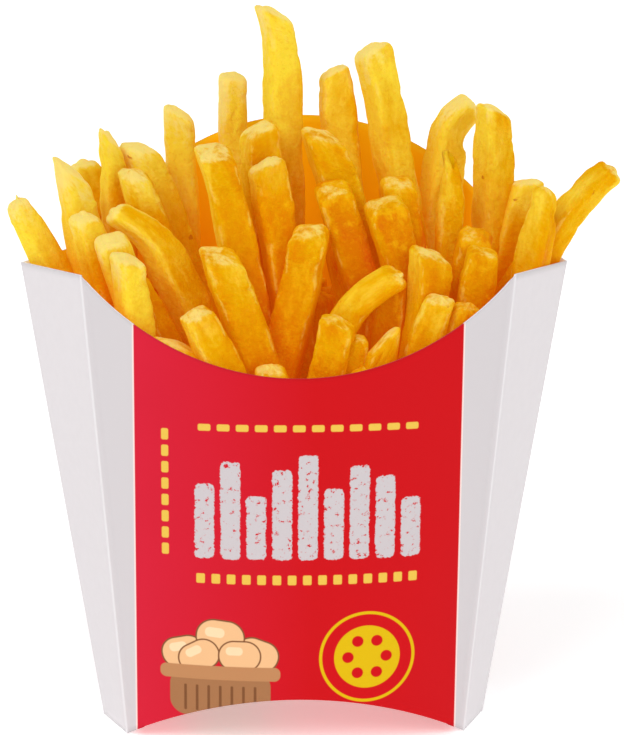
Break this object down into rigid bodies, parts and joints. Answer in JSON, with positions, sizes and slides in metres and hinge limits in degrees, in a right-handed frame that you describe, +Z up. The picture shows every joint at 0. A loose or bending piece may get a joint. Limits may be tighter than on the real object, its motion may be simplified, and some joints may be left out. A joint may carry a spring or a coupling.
{
  "type": "french fries in a carton",
  "caption": "Open hexagonal paperboard carton heaped with french fries that fan out above its scooped front rim.",
  "frame": {"origin": "middle of the whole box's floor, on the surface that the carton stands on", "axes": "+Z up, -Y towards the carton's scooped front, +X to the right as seen from the front"},
  "size_m": [0.1612, 0.0786, 0.1891],
  "materials": {
    "paperboard": "satin",
    "fried_potato": "satin"
  },
  "bodies": {
    "root": {"carton": "paperboard", "fries": "fried_potato"}
  },
  "joints": []
}
